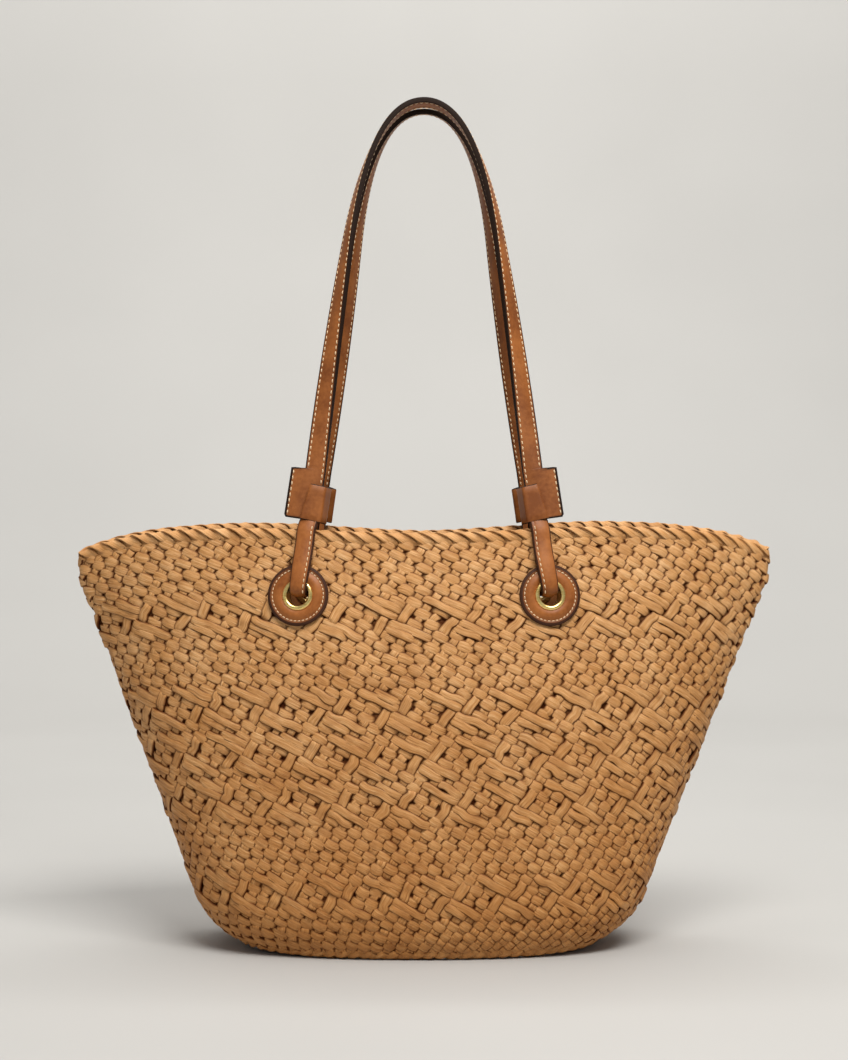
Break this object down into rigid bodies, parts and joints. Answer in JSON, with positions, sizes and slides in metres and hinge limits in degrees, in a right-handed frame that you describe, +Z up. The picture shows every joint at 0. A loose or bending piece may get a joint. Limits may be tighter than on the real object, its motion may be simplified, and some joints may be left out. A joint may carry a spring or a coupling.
{
  "type": "beach bag",
  "caption": "Woven raffia tote with a flaring basket, oval base, braided rim and leather handles looped through brass eyelets.",
  "frame": {"origin": "middle of the base's underside, on the ground", "axes": "+X along the bag's width to the right as the front is seen, -Y out of the front, +Z up through the handles"},
  "size_m": [0.4858, 0.1584, 0.588],
  "materials": {
    "raffia": "dry, fibrous and slightly glossy strands",
    "leather": "smooth vegetable tan with dark painted edges",
    "leather_lining": "matt inner side",
    "brass": "polished",
    "thread": "waxed thread"
  },
  "bodies": {
    "basket": {"woven_wall": "raffia", "woven_base": "raffia", "rim_braid": "raffia", "front_left_patch": "leather", "front_right_patch": "leather", "back_left_patch": "leather", "back_right_patch": "leather", "front_left_backing": "leather_lining", "front_right_backing": "leather_lining", "back_left_backing": "leather_lining", "back_right_backing": "leather_lining", "front_left_eyelet": "brass", "front_right_eyelet": "brass", "back_left_eyelet": "brass", "back_right_eyelet": "brass", "front_left_washer": "brass", "front_right_washer": "brass", "back_left_washer": "brass", "back_right_washer": "brass", "patch_stitching": "thread", "front_left_loop": "leather", "front_right_loop": "leather", "back_left_loop": "leather", "back_right_loop": "leather"},
    "front_handle": {"front_left_loop_ends": "leather", "front_right_loop_ends": "leather", "front_left_tab": "leather", "front_right_tab": "leather", "front_left_wrap": "leather", "front_right_wrap": "leather", "front_strap": "leather", "front_strap_lining": "leather_lining", "front_strap_stitching": "thread"},
    "back_handle": {"back_left_loop_ends": "leather", "back_right_loop_ends": "leather", "back_left_tab": "leather", "back_right_tab": "leather", "back_left_wrap": "leather", "back_right_wrap": "leather", "back_strap": "leather", "back_strap_lining": "leather_lining", "back_strap_stitching": "thread"}
  },
  "joints": [
    {"name": "front_handle_swing", "type": "hinge", "parent": "basket", "child": "front_handle", "pos_m": [0, -0.0578, 0.2927], "axis": [1, 0, 0], "range_deg": [0, 172]},
    {"name": "back_handle_swing", "type": "hinge", "parent": "basket", "child": "back_handle", "pos_m": [0, 0.0578, 0.2927], "axis": [-1, 0, 0], "range_deg": [0, 172]}
  ]
}
